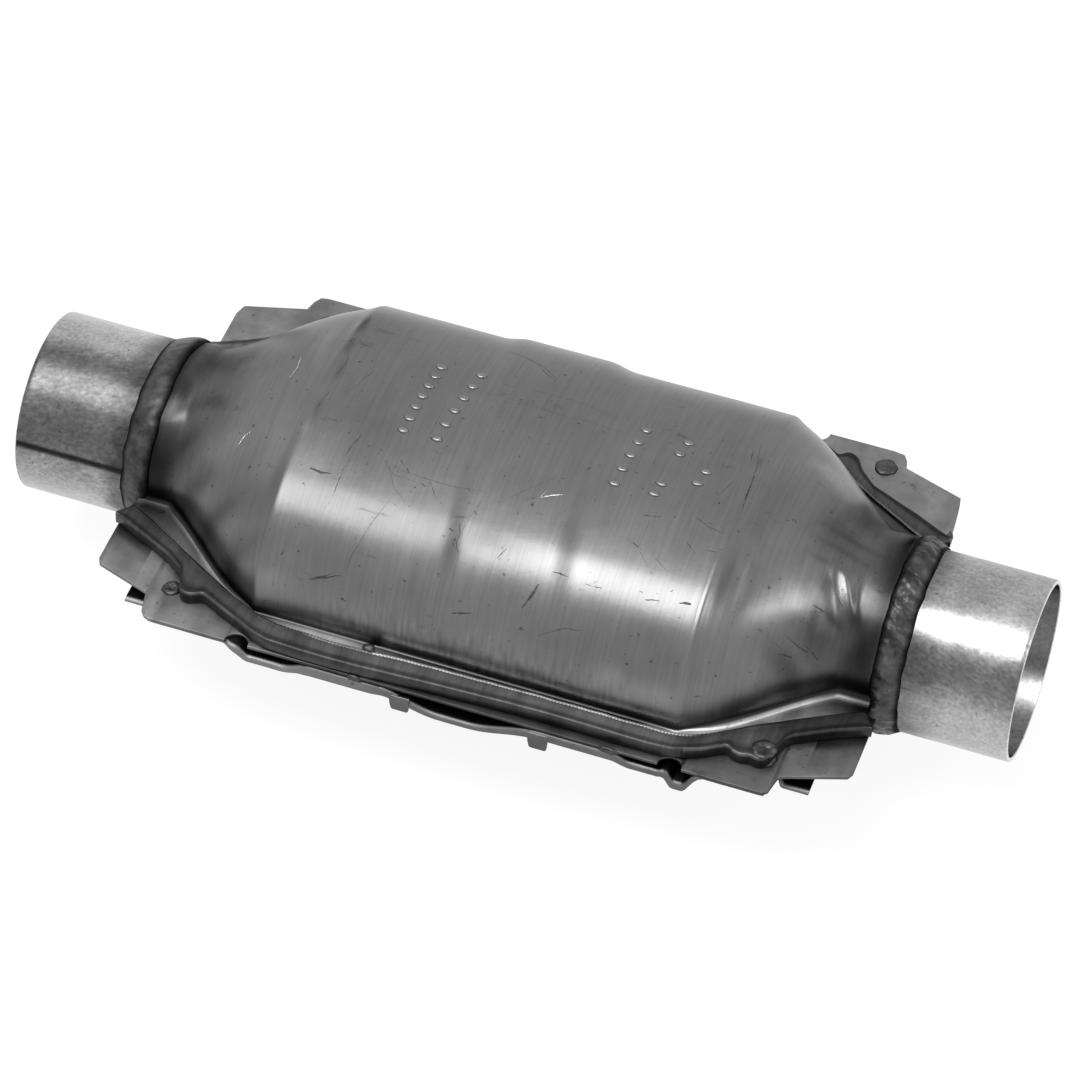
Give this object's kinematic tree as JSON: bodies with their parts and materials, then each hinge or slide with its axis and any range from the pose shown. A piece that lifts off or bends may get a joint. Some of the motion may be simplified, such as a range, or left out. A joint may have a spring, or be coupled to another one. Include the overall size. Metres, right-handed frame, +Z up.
{
  "type": "catalytic converter",
  "caption": "Oval clamshell catalytic converter with round pipe stubs at both ends, ceramic bricks inside and a heat shield underneath.",
  "frame": {"origin": "centre of the bounding box at its base, on the heat shield's flat sole, under the pipe axis", "axes": "+X along the pipe axis from inlet to outlet, +Y across the flange, +Z up"},
  "size_m": [0.3222, 0.1484, 0.0944],
  "materials": {
    "shell_steel": "brushed stainless, heat tinted at the cones",
    "pipe_steel": "mill-finish tube with mottled reflections",
    "weld_steel": "dark rough weld metal",
    "shield_steel": "matt aluminised sheet",
    "brick_ceramic": "matt cordierite honeycomb",
    "mat_fibre": "pressed fibre mat",
    "seal_mesh": "knitted wire mesh"
  },
  "bodies": {
    "root": {"upper_shell": "shell_steel", "lower_shell": "shell_steel", "inlet_pipe": "pipe_steel", "outlet_pipe": "pipe_steel", "inlet_weld": "weld_steel", "outlet_weld": "weld_steel", "inlet_brick": "brick_ceramic", "outlet_brick": "brick_ceramic", "inlet_outer_seal": "seal_mesh", "inlet_inner_seal": "seal_mesh", "outlet_inner_seal": "seal_mesh", "outlet_outer_seal": "seal_mesh", "inlet_mat": "mat_fibre", "outlet_mat": "mat_fibre", "left_shield_rail": "shield_steel", "right_shield_rail": "shield_steel", "shield_pan": "shield_steel", "corner_weld_buttons": "weld_steel", "edge_tack_welds": "weld_steel"}
  },
  "joints": []
}
